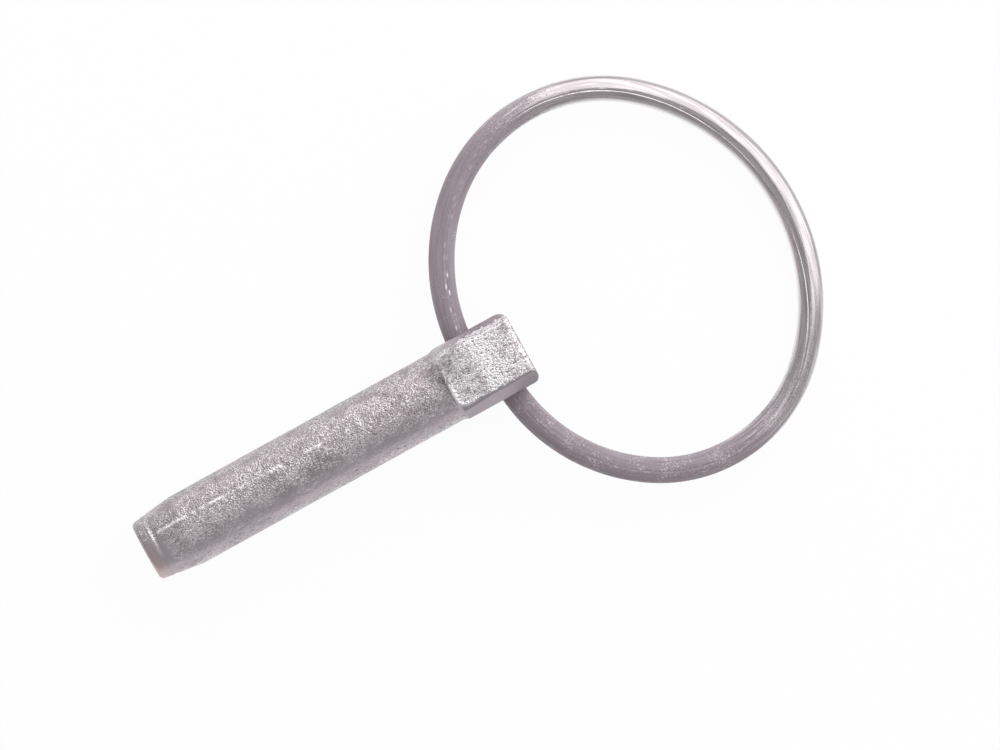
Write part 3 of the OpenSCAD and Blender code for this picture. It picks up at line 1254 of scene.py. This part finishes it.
def add_window(stage):
    """The main light, a large soft panel like a window."""
    lamp = bpy.data.lights.new("window", "AREA")
    lamp.shape = "RECTANGLE"
    lamp.size = stage.window_width
    lamp.size_y = stage.window_depth
    lamp.energy = stage.window_power
    light = bpy.data.objects.new("window", lamp)
    light.visible_camera = False
    turn = stage.window_turn + stage.picture_turn
    flat = math.cos(stage.window_height)
    toward = Vector((flat * math.cos(turn), flat * math.sin(turn), math.sin(stage.window_height)))
    aim = toward.to_track_quat("Z", "Y").to_matrix() @ Matrix.Rotation(-stage.window_roll, 3, "Z")
    light.location = toward * stage.window_distance + aim.col[0] * stage.window_shift
    light.rotation_euler = aim.to_euler()
    bpy.context.scene.collection.objects.link(light)


def add_camera(stage):
    """The camera, straight above the part, with the picture turned."""
    data = bpy.data.cameras.new("camera")
    data.lens = data.sensor_width * stage.camera_height / stage.picture_width
    data.clip_end = 2 * stage.floor_radius
    camera = bpy.data.objects.new("camera", data)
    camera.location = (stage.centre_x, stage.centre_y, stage.camera_height)
    camera.rotation_euler = (0, 0, stage.picture_turn)
    bpy.context.scene.collection.objects.link(camera)
    bpy.context.scene.camera = camera


# Operators and panel


class LYNCHPIN_OT_forged_pin(bpy.types.Operator):
    """Builds the forged pin with its head and tip"""

    bl_idname = "lynchpin.forged_pin"
    bl_label = "Forged Pin"

    def execute(self, context):
        pin = settings().pin
        piece = make_forged_pin(pin)
        piece.data.materials.append(forged_zinc(pin))
        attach(piece, "pin_body")
        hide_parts("pin")
        return {"FINISHED"}


class LYNCHPIN_OT_wire_ring(bpy.types.Operator):
    """Bends the sprung wire ring that swings in the head"""

    bl_idname = "lynchpin.wire_ring"
    bl_label = "Wire Ring"

    def execute(self, context):
        ring = settings().ring
        piece = make_wire_ring(ring)
        piece.data.materials.append(wire_zinc(ring))
        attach(piece, "ring_body")
        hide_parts("spring_ring")
        return {"FINISHED"}


class LYNCHPIN_OT_stage(bpy.types.Operator):
    """Sets up the white floor, the soft light and the camera"""

    bl_idname = "lynchpin.stage"
    bl_label = "Stage"

    def execute(self, context):
        stage = settings().stage
        make_floor(stage)
        light_world(stage)
        add_window(stage)
        add_camera(stage)
        context.scene.view_settings.view_transform = "Standard"
        return {"FINISHED"}


class LYNCHPIN_PT_panel(bpy.types.Panel):
    """Lists the pieces and the stage"""

    bl_idname = "LYNCHPIN_PT_panel"
    bl_label = "Lynch Pin"
    bl_space_type = "VIEW_3D"
    bl_region_type = "UI"
    bl_category = "Lynch Pin"

    def draw(self, context):
        for operator in OPERATORS:
            self.layout.operator(operator.bl_idname)
        for group in (settings().pin, settings().ring, settings().stage):
            box = self.layout.box()
            for name in group.__annotations__:
                box.prop(group, name)


GROUPS = (ForgedPinSettings, WireRingSettings, StageSettings, LynchPinSettings)
OPERATORS = (LYNCHPIN_OT_forged_pin, LYNCHPIN_OT_wire_ring, LYNCHPIN_OT_stage)
CLASSES = GROUPS + OPERATORS + (LYNCHPIN_PT_panel,)


def register():
    """Registers the classes and gives the scene its settings."""
    for cls in CLASSES:
        bpy.utils.register_class(cls)
    bpy.types.Scene.lynch_pin = PointerProperty(type=LynchPinSettings)


def unregister():
    """Takes the settings and the classes away again."""
    del bpy.types.Scene.lynch_pin
    for cls in reversed(CLASSES):
        bpy.utils.unregister_class(cls)


def main():
    """Builds the part and its stage."""
    register()
    bpy.ops.lynchpin.forged_pin()
    bpy.ops.lynchpin.wire_ring()
    bpy.ops.lynchpin.stage()


if __name__ == "__main__":
    main()
